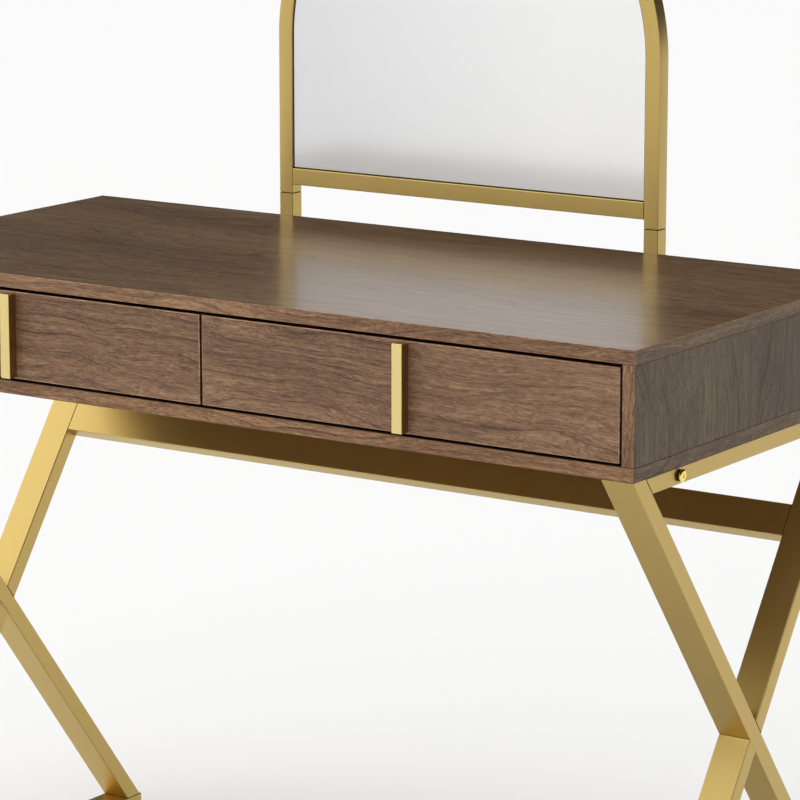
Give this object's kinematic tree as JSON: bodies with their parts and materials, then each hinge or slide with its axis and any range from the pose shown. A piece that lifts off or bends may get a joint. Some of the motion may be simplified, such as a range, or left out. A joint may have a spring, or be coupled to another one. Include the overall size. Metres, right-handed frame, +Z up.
{
  "type": "vanity table with mirror",
  "caption": "Vanity table with side-by-side sliding drawers in a low cabinet, crossed-leg tube frames and an arched mirror standing on its rear edge.",
  "frame": {"origin": "on the floor, under the middle of the whole object's box", "axes": "+Z up, drawers open towards -Y, +X to the right for a person facing the drawers"},
  "size_m": [1.075, 0.5436, 1.2724],
  "materials": {
    "walnut_board": "satin walnut laminate on board",
    "drawer_board": "plain light wood-grain foil",
    "dowel_beech": "raw beech",
    "gold_tube": "satin champagne-gold metallic powder coat",
    "brushed_gold": "brushed, lacquered",
    "polished_brass": "polished",
    "slide_steel": "zinc-plated, rolled",
    "zinc_steel": "zinc-plated",
    "black_plastic": "matt moulded",
    "black_board": "black-faced fibreboard",
    "mirror_glass": "silvered float glass"
  },
  "bodies": {
    "cabinet_and_frame": {"top_panel": "walnut_board", "bottom_panel": "walnut_board", "left_side_panel": "walnut_board", "right_side_panel": "walnut_board", "back_panel": "walnut_board", "centre_divider": "walnut_board", "cabinet_dowels": "dowel_beech", "left_outer_slide_channel": "slide_steel", "left_inner_slide_channel": "slide_steel", "right_outer_slide_channel": "slide_steel", "right_inner_slide_channel": "slide_steel", "left_long_leg": "gold_tube", "left_split_leg_upper": "gold_tube", "left_split_leg_lower": "gold_tube", "left_top_rail": "gold_tube", "left_floor_rail": "gold_tube", "right_long_leg": "gold_tube", "right_split_leg_upper": "gold_tube", "right_split_leg_lower": "gold_tube", "right_top_rail": "gold_tube", "right_floor_rail": "gold_tube", "rear_stretcher": "gold_tube", "front_cross_rail": "gold_tube", "rear_cross_rail": "gold_tube", "frame_bolts": "polished_brass", "cabinet_fixing_screws": "zinc_steel", "glide_feet": "black_plastic", "left_stub_post": "gold_tube", "right_stub_post": "gold_tube", "post_bolts": "zinc_steel", "mirror_sleeves": "zinc_steel", "mirror_arch_tube": "gold_tube", "mirror_bottom_rail": "gold_tube", "mirror_glass": "mirror_glass", "mirror_backing_board": "black_board", "mirror_clips": "zinc_steel"},
    "left_drawer": {"left_drawer_front": "walnut_board", "left_drawer_outer_side": "drawer_board", "left_drawer_inner_side": "drawer_board", "left_drawer_back": "drawer_board", "left_drawer_bottom": "drawer_board", "left_drawer_handle": "brushed_gold", "left_handle_screws": "zinc_steel", "left_outer_slide_runner": "slide_steel", "left_inner_slide_runner": "slide_steel"},
    "right_drawer": {"right_drawer_front": "walnut_board", "right_drawer_outer_side": "drawer_board", "right_drawer_inner_side": "drawer_board", "right_drawer_back": "drawer_board", "right_drawer_bottom": "drawer_board", "right_drawer_handle": "brushed_gold", "right_handle_screws": "zinc_steel", "right_outer_slide_runner": "slide_steel", "right_inner_slide_runner": "slide_steel"},
    "left_outer_slide_middle_member": {"left_outer_slide_middle": "slide_steel"},
    "left_inner_slide_middle_member": {"left_inner_slide_middle": "slide_steel"},
    "right_outer_slide_middle_member": {"right_outer_slide_middle": "slide_steel"},
    "right_inner_slide_middle_member": {"right_inner_slide_middle": "slide_steel"}
  },
  "joints": [
    {"name": "left_drawer_slide", "type": "slide", "parent": "cabinet_and_frame", "child": "left_drawer", "axis": [0, -1, 0], "range_m": [0, 0.36]},
    {"name": "right_drawer_slide", "type": "slide", "parent": "cabinet_and_frame", "child": "right_drawer", "axis": [0, -1, 0], "range_m": [0, 0.36]},
    {"name": "left_outer_middle_slide", "type": "slide", "parent": "cabinet_and_frame", "child": "left_outer_slide_middle_member", "axis": [0, -1, 0], "range_m": [0, 0.18]},
    {"name": "left_inner_middle_slide", "type": "slide", "parent": "cabinet_and_frame", "child": "left_inner_slide_middle_member", "axis": [0, -1, 0], "range_m": [0, 0.18]},
    {"name": "right_outer_middle_slide", "type": "slide", "parent": "cabinet_and_frame", "child": "right_outer_slide_middle_member", "axis": [0, -1, 0], "range_m": [0, 0.18]},
    {"name": "right_inner_middle_slide", "type": "slide", "parent": "cabinet_and_frame", "child": "right_inner_slide_middle_member", "axis": [0, -1, 0], "range_m": [0, 0.18]}
  ],
  "couplings": [
    {"joint": "left_outer_middle_slide", "follows": "left_drawer_slide", "ratio": 0.5},
    {"joint": "left_inner_middle_slide", "follows": "left_drawer_slide", "ratio": 0.5},
    {"joint": "right_outer_middle_slide", "follows": "right_drawer_slide", "ratio": 0.5},
    {"joint": "right_inner_middle_slide", "follows": "right_drawer_slide", "ratio": 0.5}
  ]
}
